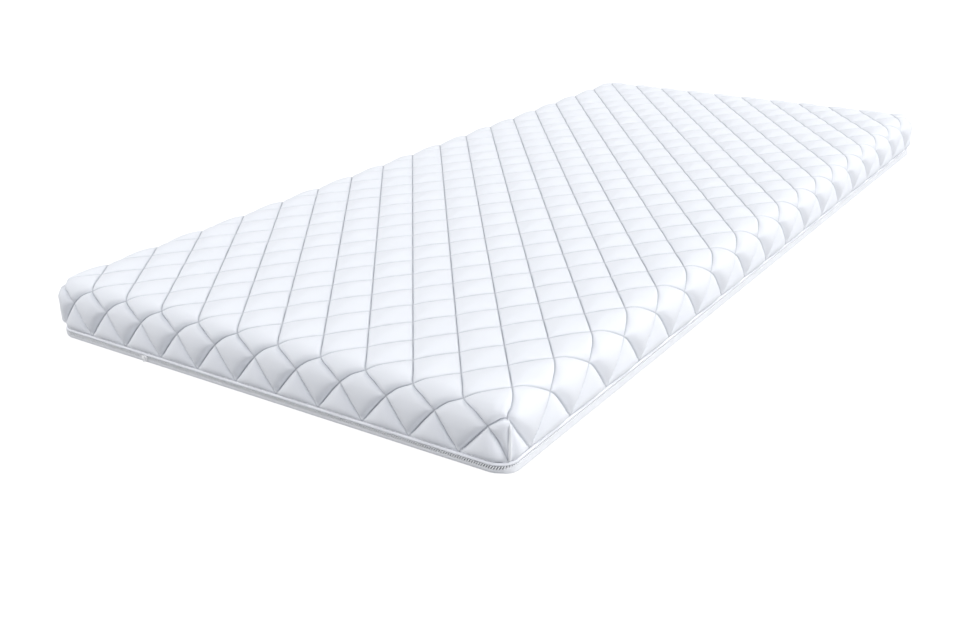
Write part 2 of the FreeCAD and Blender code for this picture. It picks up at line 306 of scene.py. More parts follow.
def puffed(i, j, fullness):
    """Places of the cover's outer face, and each point's distance from a stitched line."""
    place, normal, turn, down = cover_surface(i, j)
    shape, line = puff_shape(i, j)
    shape = shape * fullness
    near_seam = np.clip(down / ARC, 0, 1) * EDGE_R * np.abs(SEAM_TURN - turn)
    in_corner = (turn > CORNER_MARGIN) * (turn < math.pi / 2 - CORNER_MARGIN)
    on_corner = smoothstep(*SEAM_START, down) * in_corner
    hem = smoothstep(0, HEM_FADE, DROP - down)
    flat_seam = 1 - on_corner * bell(near_seam, SEAM_FLAT_REACH)
    lift = PUFF * shape * (HEM_LIFT + (1 - HEM_LIFT) * hem) * flat_seam
    on_side = smoothstep(4 * MM, 30 * MM, down)
    groove = GROOVE * bell(line, GROOVE_REACH) * hem
    groove = groove + SIDE_GROOVE * bell(line, SIDE_GROOVE_REACH) * hem * on_side
    width = np.where(turn < SEAM_TURN, *FOLD_REACH)
    fold = np.where(turn < SEAM_TURN, *FOLD_RISE) * bell(near_seam, width)
    seam = on_corner * (fold + FOLD_POINT * bell(near_seam, FOLD_POINT_REACH))
    x, y = place[..., 0], place[..., 1]
    crown = CROWN * (1 - (x / HALF_W) ** 2) * (1 - (y / HALF_L) ** 4)
    loose = 0.5 * MM * ripples(x, y + place[..., 2], 0.11, 5) * np.clip(shape, 0, 1)
    sunk = np.minimum(hem_tuck(down) + groove + corner_pull(turn, down), DEEPEST)
    moved = place + normal * (lift + seam - sunk + loose)[..., None]
    moved[..., 2] += crown * (down <= 0)
    return moved, line


def crowded(i, j):
    """Moves grid points towards the stitched lines, where the cloth bends most."""
    a = (i + j) / STEPS
    b = (i - j) / STEPS
    past_x = np.minimum(i - COLUMNS[0], COLUMNS[1] - i)
    past_y = np.minimum(j - ROWS[0], ROWS[1] - j)
    dart_x = np.minimum(np.abs(i - DART_COLUMNS[0]), np.abs(i - DART_COLUMNS[1]))
    dart_y = np.minimum(np.abs(j - DART_ROWS[0]), np.abs(j - DART_ROWS[1]))
    at_dart_x = np.where(past_y < DART_ROWS[0] - ROWS[0] + 1, dart_x, STEPS)
    at_dart_y = np.where(past_x < COLUMNS[1] - DART_COLUMNS[1] + 1, dart_y, STEPS)
    near = np.minimum(np.minimum(past_x, past_y), np.minimum(at_dart_x, at_dart_y))
    amount = CROWDING * np.clip(near / CROWDING_FADE, 0, 1) / (2 * math.pi)
    a = a - amount * np.sin(2 * math.pi * a)
    b = b - amount * np.sin(2 * math.pi * b)
    return (a + b) * STEPS / 2, (a - b) * STEPS / 2


def in_cover(i, j):
    """True where the cross-shaped cloth has a point: its four corners are cut out as darts."""
    past_x = (i < DART_COLUMNS[0]) | (i > DART_COLUMNS[1])
    past_y = (j < DART_ROWS[0]) | (j > DART_ROWS[1])
    return ~(past_x & past_y)


def cover_faces(cells, number):
    """Quads between grid points, cut in two along the diagonals that are stitched."""
    faces = []
    for i, j in cells:
        a, b, c, d = number[i, j], number[i + 1, j], number[i + 1, j + 1], number[i, j + 1]
        col, row = i + COLUMNS[0], j + ROWS[0]
        if (col + row + 1) % STEPS == 0:
            faces += [(a, b, d), (b, c, d)]
        elif (col - row) % STEPS == 0:
            faces += [(a, b, c), (a, c, d)]
        else:
            faces.append((a, b, c, d))
    return faces


def grid(stride):
    """Grid points of the cover cloth: indices, which are in the cloth, and their numbers."""
    i, j = np.meshgrid(
        np.arange(COLUMNS[0], COLUMNS[1] + 1, stride),
        np.arange(ROWS[0], ROWS[1] + 1, stride),
        indexing="ij",
    )
    inside = in_cover(i, j)
    number = np.full(i.shape, -1)
    number[inside] = np.arange(inside.sum())
    whole = inside[:-1, :-1] & inside[1:, :-1] & inside[1:, 1:] & inside[:-1, 1:]
    return i, j, inside, number, np.argwhere(whole)


def quads(cells, number):
    """One face for each whole cell of a grid."""
    ring = ((0, 0), (1, 0), (1, 1), (0, 1))
    return [tuple(int(number[a + s, b + t]) for s, t in ring) for a, b in cells]


def cloth_place(i, j):
    """Where grid points lie on the flat cloth, in metres."""
    return np.stack([i * PITCH_X / STEPS, j * PITCH_Y / STEPS], -1)


def point_at(number, spot, stride=1):
    """Number of the grid point at a spot in grid steps."""
    return int(number[(spot[0] - COLUMNS[0]) // stride, (spot[1] - ROWS[0]) // stride])


def border_walk():
    """The cloth's border as grid points, once round its twelve corners."""
    left, right = COLUMNS
    dart_left, dart_right = DART_COLUMNS
    front, back = ROWS
    dart_front, dart_back = DART_ROWS
    corners = [
        (dart_left, front), (dart_right, front), (dart_right, dart_front), (right, dart_front),
        (right, dart_back), (dart_right, dart_back), (dart_right, back), (dart_left, back),
        (dart_left, dart_back), (left, dart_back), (left, dart_front), (dart_left, dart_front),
    ]
    walk = []
    for (i, j), (ni, nj) in zip(corners, corners[1:] + corners[:1]):
        count = max(abs(ni - i), abs(nj - j))
        walk += [(i + (ni - i) * k // count, j + (nj - j) * k // count) for k in range(count)]
    return walk


def blurred(values):
    """Mean of each value and its neighbours up to two steps away."""
    wide = np.pad(values, 2, mode="edge")
    rows, cols = values.shape
    parts = [wide[a:a + rows, b:b + cols] for a in range(5) for b in range(5)]
    return sum(parts) / len(parts)


def blown_up(points, faces, pinned):
    """Cloth held at its stitches and blown up by pressure: the places it ends in."""
    obj = new_object("cover_cloth_simulation", points * SIM_SCALE, faces)
    group = obj.vertex_groups.new(name="stitches")
    group.add([int(n) for n in np.flatnonzero(pinned)], 1.0, "REPLACE")
    cloth = obj.modifiers.new("Cloth", "CLOTH")
    settings = cloth.settings
    settings.quality = 4
    settings.mass = 0.02
    settings.tension_stiffness = 8
    settings.compression_stiffness = 8
    settings.shear_stiffness = 3
    settings.bending_stiffness = 0.3
    settings.vertex_group_mass = "stitches"
    settings.use_pressure = True
    settings.uniform_pressure_force = 4
    settings.effector_weights.gravity = 0
    cloth.collision_settings.use_collision = False
    scene = bpy.context.scene
    cloth.point_cache.frame_start = 1
    cloth.point_cache.frame_end = SIM_FRAMES
    for number in range(1, SIM_FRAMES + 1):
        scene.frame_set(number)
    seen = obj.evaluated_get(bpy.context.evaluated_depsgraph_get())
    places = np.empty(3 * len(points), np.float32)
    seen.data.vertices.foreach_get("co", places)
    data = obj.data
    bpy.data.objects.remove(obj)
    bpy.data.meshes.remove(data)
    scene.frame_set(1)
    return places.reshape(-1, 3).astype(float) / SIM_SCALE


def simulated_fullness():
    """How full each part of the quilting is, from a cloth simulation on a coarser grid."""
    i, j, inside, number, cells = grid(SIM_STRIDE)
    fi, fj = i[inside].astype(float), j[inside].astype(float)
    base, normal, _, _ = cover_surface(fi, fj)
    shape, line = puff_shape(fi, fj)
    start = base + normal * (SIM_START * PUFF * shape)[:, None]
    faces = quads(cells, number)
    used = np.zeros(len(start), int)
    for corner in np.array(faces).T:
        np.add.at(used, corner, 1)
    pinned = (line < 0.1 * MM) | (used < 4)
    moved = blown_up(start, faces, pinned)
    height = np.einsum("ij,ij->i", moved - base, normal)
    reliable = (shape > 0.35) & ~pinned
    share = np.where(reliable, height / (PUFF * np.maximum(shape, 0.1)), 0)
    share = share / share[reliable].mean()
    field, weight = np.zeros(i.shape), np.zeros(i.shape)
    field[inside], weight[inside] = share * reliable, reliable
    filled = blurred(field) / np.maximum(blurred(weight), 1e-6)
    filled[blurred(weight) < 1e-6] = 1
    return np.clip(np.where(weight > 0, field, filled), *FULLNESS_LIMITS)


def puff_fullness(i, j):
    """Fullness at grid places, from the simulation."""
    field = simulated_fullness()
    u = np.clip((i - COLUMNS[0]) / SIM_STRIDE, 0, field.shape[0] - 1.001)
    v = np.clip((j - ROWS[0]) / SIM_STRIDE, 0, field.shape[1] - 1.001)
    a, b = u.astype(int), v.astype(int)
    s, t = u - a, v - b
    low = field[a, b] * (1 - s) + field[a + 1, b] * s
    high = field[a, b + 1] * (1 - s) + field[a + 1, b + 1] * s
    return low * (1 - t) + high * t


def quilted_cover(material):
    """The quilted sandwich: a fine outer face, a coarse lining and the rim that joins them."""
    i, j, inside, number, cells = grid(1)
    fi, fj = crowded(i[inside].astype(float), j[inside].astype(float))
    place, line = puffed(fi, fj, puff_fullness(fi, fj))
    faces = cover_faces(cells, number)
    stride = 6
    ci, cj, c_inside, c_number, c_cells = grid(stride)
    base, normal, _, _ = cover_surface(ci[c_inside].astype(float), cj[c_inside].astype(float))
    lining = base - normal * (LINING_INSET - STITCH_INSET)
    first = len(place)
    for a, b, c, d in quads(c_cells, c_number):
        faces.append((first + a, first + d, first + c, first + b))
    walk = border_walk()
    walk.append(walk[0])
    for k in range(0, len(walk) - 1, stride):
        outer = [point_at(number, spot) for spot in walk[k:k + stride + 1]]
        inner = [first + point_at(c_number, walk[n], stride) for n in (k, k + stride)]
        faces.append(tuple(outer[::-1] + inner))
    obj = new_object("quilted_cover", np.concatenate([place, lining]), faces, material)
    back = cloth_place(ci[c_inside], cj[c_inside])
    set_uv(obj, np.concatenate([cloth_place(fi, fj), back]))
    set_value(obj, "stitch_distance", np.concatenate([line, np.full(len(lining), CELL_WIDTH)]))
    sharpen_stitched_lines(obj, i[inside], j[inside])
    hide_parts("cover_face_knit", "top_wadding", "side_wadding")
    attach(obj, "top_cover")


def backing_cloth(material):
    """The cover's inner cloth, which the quilting pulls into shallow dimples."""
    stride = 4
    i, j, inside, number, cells = grid(stride)
    fi, fj = i[inside].astype(float), j[inside].astype(float)
    base, normal, _, _ = cover_surface(fi, fj)
    shape, line = puff_shape(fi, fj)
    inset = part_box("cover_face_knit")[1].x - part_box("cover_backing")[1].x
    outer = base - normal * (inset - STITCH_INSET)
    inner = outer - normal * (0.3 * MM + 0.5 * MM * np.clip(shape, 0, 1))[..., None]
    first = len(outer)
    faces = []
    for quad in quads(cells, number):
        faces += [quad, tuple(first + c for c in reversed(quad))]
    rim = [point_at(number, spot, stride) for spot in border_walk()[::stride]]
    for a, b in zip(rim, rim[1:] + rim[:1]):
        faces.append((b, a, first + a, first + b))
    obj = new_object("backing_cloth", np.concatenate([outer, inner]), faces, material)
    set_uv(obj, np.tile(cloth_place(fi, fj), (2, 1)))
    set_value(obj, "stitch_distance", np.concatenate([line, line]))
    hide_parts("cover_backing")
    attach(obj, "top_cover")


def corner_ridges(material):
    """The raised seam at each upright corner, from the tip of its dart down to the piping."""
    for end, rows in (("front", (DART_ROWS[0], ROWS[0])), ("back", (DART_ROWS[1], ROWS[1]))):
        for hand, column in (("left", DART_COLUMNS[0]), ("right", DART_COLUMNS[1])):
            j = np.linspace(rows[0], rows[1], 40)
            place, normal, turn, down = cover_surface(np.full(len(j), float(column)), j)
            pull = corner_pull(turn, down)
            share = (down - down[0]) / (down[-1] - down[0])
            swell = smoothstep(0, 0.22, share) * (1 - 0.45 * smoothstep(0.90, 1, share))
            pucker = 1 + 0.10 * ripples(down, down * 0, 0.012, 21, 3)
            out = RIDGE_OUT * swell - hem_tuck(down) - pull + RIDGE_TIP_OUT
            centre = place + normal * out[:, None]
            across = np.cross(normal, np.gradient(place, axis=0))
            across /= np.linalg.norm(across, axis=1)[:, None]
            points = []
            around = np.linspace(0, 2 * math.pi, 14, endpoint=False)
            for k in range(len(j)):
                wide = (RIDGE_TIP_WIDE + RIDGE_WIDE * swell[k]) * pucker[k]
                tall = RIDGE_TIP_TALL + RIDGE_TALL * swell[k]
                ring = across[k] * np.cos(around)[:, None] * wide
                points.append(centre[k] + ring + normal[k] * np.sin(around)[:, None] * tall)
            obj = tube(f"corner_ridge_{end}_{hand}", np.array(points), material)
            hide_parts(f"corner_seam_{end}_{hand}")
            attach(obj, "top_cover")


def tube(name, rings, material):
    """A closed tube from rings of points, with both ends capped."""
    rows, cols = rings.shape[:2]
    obj = new_object(name, rings.reshape(-1, 3), tube_faces(0, rows, cols), material)
    recalculate(obj)
    gaps = np.linalg.norm(np.diff(rings.mean(1), axis=0), axis=1)
    run = np.concatenate([[0], np.cumsum(gaps)])
    girth = np.linspace(0, 10 * MM, cols)
    set_uv(obj, np.stack([np.repeat(run, cols), np.tile(girth, rows)], -1))
    return obj


def recalculate(obj):
    mesh = bmesh.new()
    mesh.from_mesh(obj.data)
    bmesh.ops.recalc_face_normals(mesh, faces=mesh.faces)
    mesh.to_mesh(obj.data)
    mesh.free()


def sharpen_stitched_lines(obj, i, j):
    """Sharp edges along the stitched diagonals, so that the puffs meet in a crease."""
    edges = np.empty(2 * len(obj.data.edges), np.int32)
    obj.data.edges.foreach_get("vertices", edges)
    a, b = edges.reshape(-1, 2).T
    outer = (a < len(i)) & (b < len(i))
    a, b = np.where(outer, a, 0), np.where(outer, b, 0)
    diagonal = outer & (np.abs(i[a] - i[b]) == 1) & (np.abs(j[a] - j[b]) == 1)
    obj.data.attributes.new("sharp_edge", "BOOLEAN", "EDGE").data.foreach_set("value", diagonal)


# ---- rings round the mattress


def ring_path(inset, step):
    """Points, outward directions and run along a rounded rectangle at an inset."""
    radius = RING_RADIUS - inset
    cx, cy = HALF_W - RING_RADIUS, HALF_L - RING_RADIUS
    points, outward = [], []
    corners = [(cx, -cy, -90), (cx, cy, 0), (-cx, cy, 90), (-cx, -cy, 180)]
    for n, (x, y, start) in enumerate(corners):
        arc_steps = max(4, round(radius * math.pi / 2 / step))
        for k in range(arc_steps):
            angle = math.radians(start + 90 * k / arc_steps)
            out = (math.cos(angle), math.sin(angle))
            points.append((x + radius * out[0], y + radius * out[1]))
            outward.append(out)
        angle = math.radians(start + 90)
        out = (math.cos(angle), math.sin(angle))
        nx, ny, _ = corners[(n + 1) % 4]
        begin = np.array([x + radius * out[0], y + radius * out[1]])
        finish = np.array([nx + radius * out[0], ny + radius * out[1]])
        line_steps = max(2, round(np.linalg.norm(finish - begin) / step))
        for k in range(line_steps):
            points.append(tuple(begin + (finish - begin) * k / line_steps))
            outward.append(out)
    points, outward = np.array(points), np.array(outward)
    gaps = np.linalg.norm(np.roll(points, -1, 0) - points, axis=1)
    run = np.concatenate([[0], np.cumsum(gaps)[:-1]])
    return points, outward, run


def ring_sweep(name, inset, section_of, step, material):
    """A closed tube round the mattress. section_of gives (out, z) pairs for each point of the path."""
    points, outward, run = ring_path(inset, step)
    section = section_of(points, outward, run)
    rows, cols = section.shape[:2]
    place = np.empty((rows, cols, 3))
    place[..., :2] = points[:, None] + outward[:, None] * section[..., :1]
    place[..., 2] = section[..., 1]
    faces = []
    for r in range(rows):
        nr = (r + 1) % rows
        for c in range(cols):
            nc = (c + 1) % cols
            faces.append((r * cols + c, nr * cols + c, nr * cols + nc, r * cols + nc))
    obj = new_object(name, place.reshape(-1, 3), faces, material)
    around = np.cumsum(np.linalg.norm(np.diff(section, axis=1, prepend=section[:, :1]), axis=2), 1)
    uv = np.stack([np.repeat(run, cols), around.ravel()], -1)
    set_uv(obj, uv)
    return obj


def piping(material):
    """The corded piping: a soft, slightly uneven tube of cloth, and the twisted cord inside it."""
    low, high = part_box("piping_cover")
    inset = HALF_W - high.x
    half_z = 2.45 * MM
    middle_z = low.z + half_z
    half_out = 2.3 * MM

    def cloth_section(points, outward, run):
        angle = np.linspace(0, 2 * math.pi, 20, endpoint=False)
        swell = (1 + 0.03 * ripples(run, run * 0, 0.05, 3))[:, None]
        out = -half_out + half_out * np.cos(angle) * swell
        return np.stack([out, middle_z + half_z * np.sin(angle) * swell], -1)

    obj = ring_sweep("piping", inset, cloth_section, 4 * MM, material)
    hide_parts("piping_cover")
    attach(obj, "top_cover")

    def cord_section(points, outward, run):
        angle = np.linspace(0, 2 * math.pi, 24, endpoint=False)
        twist = run[:, None] / (3 * MM)
        radius = 1.5 * MM * (1 + 0.10 * np.abs(np.sin(1.5 * (angle + twist))))
        out = -half_out + radius * np.cos(angle)
        return np.stack([out, middle_z + radius * np.sin(angle)], -1)

    filler = plain_material("piping_filler", (0.85, 0.85, 0.84), 0.9)
    cord = ring_sweep("piping_filler", inset, cord_section, 6 * MM, filler)
    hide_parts("piping_cord")
    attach(cord, "top_cover")


def base_band(material):
    """The hem band. It stands higher along the long sides, where it hides the zip."""
    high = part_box("base_band")[1]
    inset = HALF_W - high.x
    piping_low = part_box("piping_cover")[0].z
    gap = 1.8 * MM
    thick = 1.7 * MM
    long_flare, end_flare = 2.6 * MM, -1.6 * MM

    def section_of(points, outward, run):
        hides = smoothstep(0.55, 0.98, np.abs(outward[:, 0]))
        top = high.z + 0.3 * MM + hides * (piping_low - gap - high.z)
        profile = [(-thick, 0.02), (-0.9 * MM, 0.0), (-0.25 * MM, 0.03), (0.12 * MM, 0.20),
                   (-0.10 * MM, 0.30), (0.14 * MM, 0.42), (0.12 * MM, 0.72), (-0.12 * MM, 0.80),
                   (0.10 * MM, 0.88), (-0.45 * MM, 1.0), (-thick, 0.98)]
        section = np.empty((len(points), len(profile), 2))
        wave = 0.15 * MM * ripples(run, run * 0, 0.03, 9)
        flare = long_flare * hides + end_flare * (1 - hides)
        for k, (out, share) in enumerate(profile):
            section[:, k, 0] = out + wave * (0.1 < share < 0.9) + flare * (1 - share) ** 1.5
            section[:, k, 1] = top * share
        return section

    obj = ring_sweep("hem_band", inset, section_of, 4 * MM, material)
    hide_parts("base_band")
    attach(obj, "base_cover")


def zip_teeth(name, node, body, material, sign):
    """One row of coil loops round the mattress: slanted, rounded bars on one pitch."""
    low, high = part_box(node)
    inset = HALF_W - high.x
    points, outward, _ = ring_path(inset, TOOTH_PITCH)
    along = np.stack([-outward[:, 1], outward[:, 0]], -1)
    if sign > 0:
        bottom, top = ZIP_SPLIT + 0.03 * MM, high.z
    else:
        bottom, top = low.z, ZIP_SPLIT - 0.03 * MM
    middle_z = (bottom + top) / 2
    reach = (top - bottom) / 2
    wide, deep, proud = 1.1 * MM, 1.3 * MM, 1.9 * MM
    slant = 0.6
    ring = [(-1, -0.5), (-0.5, -1), (0.5, -1), (1, -0.5), (1, 0.5), (0.5, 1), (-0.5, 1), (-1, 0.5)]
    levels = [(-1.0, 0.55), (-0.75, 1.0), (0.75, 1.0), (1.0, 0.55)]
    place, faces = [], []
    for p, out, side in zip(points, outward, along):
        start = len(place)
        for level, size in levels:
            shift = slant * (level + sign) * reach
            for a, b in ring:
                at = p + side * (a * wide * size + shift) + out * (deep * (b * size - 1) + proud)
                place.append((at[0], at[1], middle_z + level * reach))
        faces += tube_faces(start, len(levels), len(ring))
    obj = new_object(name, place, faces, material)
    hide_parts(node)
    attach(obj, body)


# ---- core, base and label

# Insets of the rings across a block's underside and top, closest at its edge. The last ring
# leaves a middle strip of this half width.
CAP_STRIP = 20 * MM
UNDERSIDE_INSETS = (0.30, 0.18, 0.10, 0.06, 0.04)
TOP_INSETS = (0.02, 0.04, 0.06, 0.09, 0.13, 0.18, 0.24, 0.30)
WALL_STEP = 12 * MM
OUTLINE_STEPS = (60, 28)


def outline(half_x, half_y, radius):
    """Points round a rounded rectangle, the same number for any size."""
    cx, cy = half_x - radius, half_y - radius
    corners = ((cx, -cy), (cx, cy), (-cx, cy), (-cx, -cy))
    points = []
    for n, (x, y) in enumerate(corners):
        for k in range(9):
            angle = math.pi / 2 * (n - 1 + k / 8)
            points.append((x + radius * math.cos(angle), y + radius * math.sin(angle)))
        turn = math.pi / 2 * n
        nx, ny = corners[(n + 1) % 4]
        out_x, out_y = radius * math.cos(turn), radius * math.sin(turn)
        steps = OUTLINE_STEPS[n % 2]
        for k in range(1, steps):
            share = k / steps
            points.append((x + (nx - x) * share + out_x, y + (ny - y) * share + out_y))
    return np.array(points)


def soft_block(name, node, body, material, corner, edge, wrinkle, seed, inset_by=0.3 * MM,
               glued=None):
    """A closed soft block in a node's box: rounded, with gentle creases in its skin.

    It stays inset_by and wrinkle inside the box, except at the face that is glued, low or high.
    """
    low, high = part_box(node)
    half_x, half_y = high.x, high.y
    rise = high.z - low.z
    deep = min(edge, rise / 2)
    small = min(3 * MM, rise / 3)
    middle = half_x - CAP_STRIP
    shrink = inset_by + wrinkle
    glued_z = {"low": low.z, "high": high.z}.get(glued)
    profile = [(middle, low.z)]
    profile += [(inset, low.z) for inset in UNDERSIDE_INSETS]
    for k in range(5):
        angle = math.pi / 2 * k / 4
        profile.append((small * (1 - math.sin(angle)), low.z + small * (1 - math.cos(angle))))
    walls = max(1, round(rise / WALL_STEP))
    for k in range(1, walls):
        profile.append((0, low.z + small + (rise - small - deep) * k / walls))
    for k in range(9):
        angle = math.pi / 2 * k / 8
        profile.append((deep * (1 - math.cos(angle)), high.z - deep * (1 - math.sin(angle))))
    profile += [(deep + inset, high.z) for inset in TOP_INSETS]
    profile.append((middle, high.z))
    rings = []
    steps = np.gradient(np.array(profile), axis=0)
    for (inset, z), (d_in, d_z) in zip(profile, steps):
        inset = min(inset, middle)
        ring = outline(half_x - inset, half_y - inset, max(corner - inset, 4 * MM))
        normal = np.array([d_z, d_in]) / max(math.hypot(d_in, d_z), 1e-9)
        wave = wrinkle * np.clip(ripples(ring[:, 0] + z, ring[:, 1] - z, 0.16, seed, 7), -1, 1)
        out = np.sign(ring) * (np.abs(ring) > np.array([half_x, half_y]) - inset - corner)
        out = out / np.maximum(np.linalg.norm(out, axis=1), 1e-9)[:, None]
        flat = ring + out * ((wave - shrink) * normal[0])[:, None]
        height = z + (wave - shrink) * normal[1] * (z != glued_z)
        rings.append(np.column_stack([flat, height]))
    obj = tube(name, np.array(rings), material)
    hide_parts(node)
    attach(obj, body)
    return obj


def label(material):
    """A blank woven label, stitched down along one end and curling a little at the other."""
    low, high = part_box("care_label")
    across, along = 24, 16
    place, faces = [], []
    for lift in (0.0, -0.25 * MM):
        for a in range(across + 1):
            for b in range(along + 1):
                u, v = a / across, b / along
                curl = 1.3 * MM * max(0, v - 0.55) ** 2 / 0.2
                z = high.z + lift + curl + 0.06 * MM * math.sin(9 * u + 3 * v)
                place.append((low.x + (high.x - low.x) * u, low.y + (high.y - low.y) * v, z))
    layer = (across + 1) * (along + 1)
    for a in range(across):
        for b in range(along):
            n = a * (along + 1) + b
            quad = (n, n + along + 1, n + along + 2, n + 1)
            faces.append(quad)
            faces.append(tuple(layer + q for q in reversed(quad)))
    rim = [a * (along + 1) for a in range(across)]
    rim += [across * (along + 1) + b for b in range(along)]
    rim += [(across - a) * (along + 1) + along for a in range(across)]
    rim += [along - b for b in range(along)]
    for a, b in zip(rim, rim[1:] + rim[:1]):
        faces.append((b, a, layer + a, layer + b))
    obj = new_object("blank_label", place, faces, material)
    set_uv(obj, [(p[0], p[1]) for p in place])
    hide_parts("care_label")
    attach(obj, "base_cover")


# ---- slider


def add_block(mesh, low, high, bevel):
    """A box with rounded edges, added to a bmesh."""
    made = bmesh.ops.create_cube(mesh, size=1.0)
    low, high = Vector(low), Vector(high)
    for vert in made["verts"]:
        share = vert.co + Vector((0.5, 0.5, 0.5))
        vert.co = Vector([low[k] + (high[k] - low[k]) * share[k] for k in range(3)])
    edges = {edge for vert in made["verts"] for edge in vert.link_edges}
    bmesh.ops.bevel(mesh, geom=list(edges), offset=bevel, segments=3, affect="EDGES", profile=0.5)


def add_ring(mesh, centre, radius, hole, half_width, count=20):
    """A short pipe along X, with a rounded outer edge."""
    section = [(hole, half_width), (radius - 0.15 * MM, half_width), (radius, half_width * 0.85),
               (radius, -half_width * 0.85), (radius - 0.15 * MM, -half_width), (hole, -half_width)]
    rings = []
    for k in range(count):
        angle = 2 * math.pi * k / count
        rings.append([
            mesh.verts.new((centre[0] + x, centre[1] + r * math.cos(angle),
                            centre[2] + r * math.sin(angle)))
            for r, x in section
        ])
    for k in range(count):
        for c in range(len(section)):
            n = (c + 1) % len(section)
            a, b = rings[k], rings[(k + 1) % count]
            mesh.faces.new((a[c], b[c], b[n], a[n]))


def from_bmesh(name, mesh, material, node, body):
    bmesh.ops.recalc_face_normals(mesh, faces=mesh.faces)
    data = bpy.data.meshes.new(name)
    mesh.to_mesh(data)
    mesh.free()
    obj = bpy.data.objects.new(name, data)
    bpy.context.scene.collection.objects.link(obj)
    data.materials.append(material)
    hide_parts(node)
    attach(obj, body)


def zip_slider(material):
    """The slider, built inwards from its outer plate, and its hanging pull tab."""
    low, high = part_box("slider_body")
    x = (low.x + high.x) / 2
    half = (high.x - low.x) / 2
    pull_low, pull_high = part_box("zip_puller")
    eye = 0.95 * MM
    bar_y = low.y + 0.4 * MM
    bar_z = pull_high.z - eye
    face = low.y + 1.65 * MM
    post_half = 0.18 * MM
    mesh = bmesh.new()
    # The outer plate, narrow at one end and wide at the other, and the rib behind it.
    add_block(mesh, (x - half, face, low.z + 1.2 * MM),
              (x + half * 0.55, face + 1.2 * MM, high.z - 1.2 * MM), 0.45 * MM)
    add_block(mesh, (x - half * 0.2, face + 0.05 * MM, low.z),
              (x + half, face + 1.15 * MM, high.z), 0.5 * MM)
    add_block(mesh, (x - half, face + 1.0 * MM, low.z + 2.75 * MM),
              (x + half, face + 3.0 * MM, high.z - 2.15 * MM), 0.3 * MM)
    # The post between the rows, and the inner plate.
    add_block(mesh, (x - 2 * MM, face + 2 * MM, ZIP_SPLIT - post_half),
              (x + 2 * MM, high.y - 0.5 * MM, ZIP_SPLIT + post_half), 0.1 * MM)
    add_block(mesh, (x - half, high.y - 1.0 * MM, low.z + 2.1 * MM),
              (x + half, high.y, high.z - 1.5 * MM), 0.3 * MM)
    # The lug's two cheeks, and the bar that the pull tab hangs on.
    for side in (-1, 1):
        middle = x + side * 2.8 * MM
        add_block(mesh, (middle - 0.4 * MM, low.y, bar_z - 0.8 * MM),
                  (middle + 0.4 * MM, face + 0.4 * MM, bar_z + 0.8 * MM), 0.25 * MM)
    add_ring(mesh, (x, bar_y, bar_z), 0.4 * MM, 0.02 * MM, 3.1 * MM)
    from_bmesh("slider", mesh, material, "slider_body", "zip_slider")
    # The pull tab: an eye round the bar, two side strips and a cross piece at each end.
    mesh = bmesh.new()
    wide = 2.1 * MM
    add_ring(mesh, (x, bar_y, bar_z), eye, 0.5 * MM, wide)
    tab = 0.45 * MM
    bottom = pull_low.z
    for side in (-1, 1):
        edge = x + side * wide
        inner = x + side * 1.2 * MM
        add_block(mesh, (min(edge, inner), bar_y - tab, bottom + 1.2 * MM),
                  (max(edge, inner), bar_y + tab, bar_z - 0.7 * MM), 0.2 * MM)
    add_block(mesh, (x - wide, bar_y - tab, bottom),
              (x + wide, bar_y + tab, bottom + 2.4 * MM), 0.4 * MM)
    add_block(mesh, (x - 1.4 * MM, bar_y - tab, bar_z - 2.6 * MM),
              (x + 1.4 * MM, bar_y + tab, bar_z - 0.75 * MM), 0.2 * MM)
    from_bmesh("pull_tab", mesh, material, "zip_puller", "puller")


# ---- materials

STITCH_LENGTH = 2 * MM


def new_material(name):
    """A material, its node tree and its shader."""
    material = bpy.data.materials.new(name)
    material.use_nodes = True
    return material, material.node_tree, material.node_tree.nodes["Principled BSDF"]


def set_inputs(node, values):
    for name, value in values.items():
        node.inputs[name].default_value = value


def math_node(tree, operation, *values):
    """The output of a Math node, from numbers and outputs of other nodes."""
    node = tree.nodes.new("ShaderNodeMath")
    node.operation = operation
    for socket, value in zip(node.inputs, values):
        if isinstance(value, (int, float)):
            socket.default_value = value
        else:
            tree.links.new(value, socket)
    return node.outputs[0]


def texture(tree, kind, values):
    """A texture that follows the object's own coordinates."""
    coordinates = tree.nodes.new("ShaderNodeTexCoord")
    node = tree.nodes.new(kind)
    set_inputs(node, values)
    tree.links.new(coordinates.outputs["Object"], node.inputs["Vector"])
    return node


def between(tree, share, first, second):
    """A colour between two, each a plain colour or the output of a node."""
    mix = tree.nodes.new("ShaderNodeMix")
    mix.data_type = "RGBA"
    for name, colour in (("A", first), ("B", second)):
        if isinstance(colour, (tuple, list)):
            mix.inputs[name].default_value = (*colour, 1)
        else:
            tree.links.new(colour, mix.inputs[name])
    tree.links.new(share, mix.inputs["Factor"])
    return mix.outputs["Result"]


def add_bump(tree, height, strength, distance):
    bump = tree.nodes.new("ShaderNodeBump")
    set_inputs(bump, {"Strength": strength, "Distance": distance})
    tree.links.new(height, bump.inputs["Height"])
    tree.links.new(bump.outputs[0], tree.nodes["Principled BSDF"].inputs["Normal"])


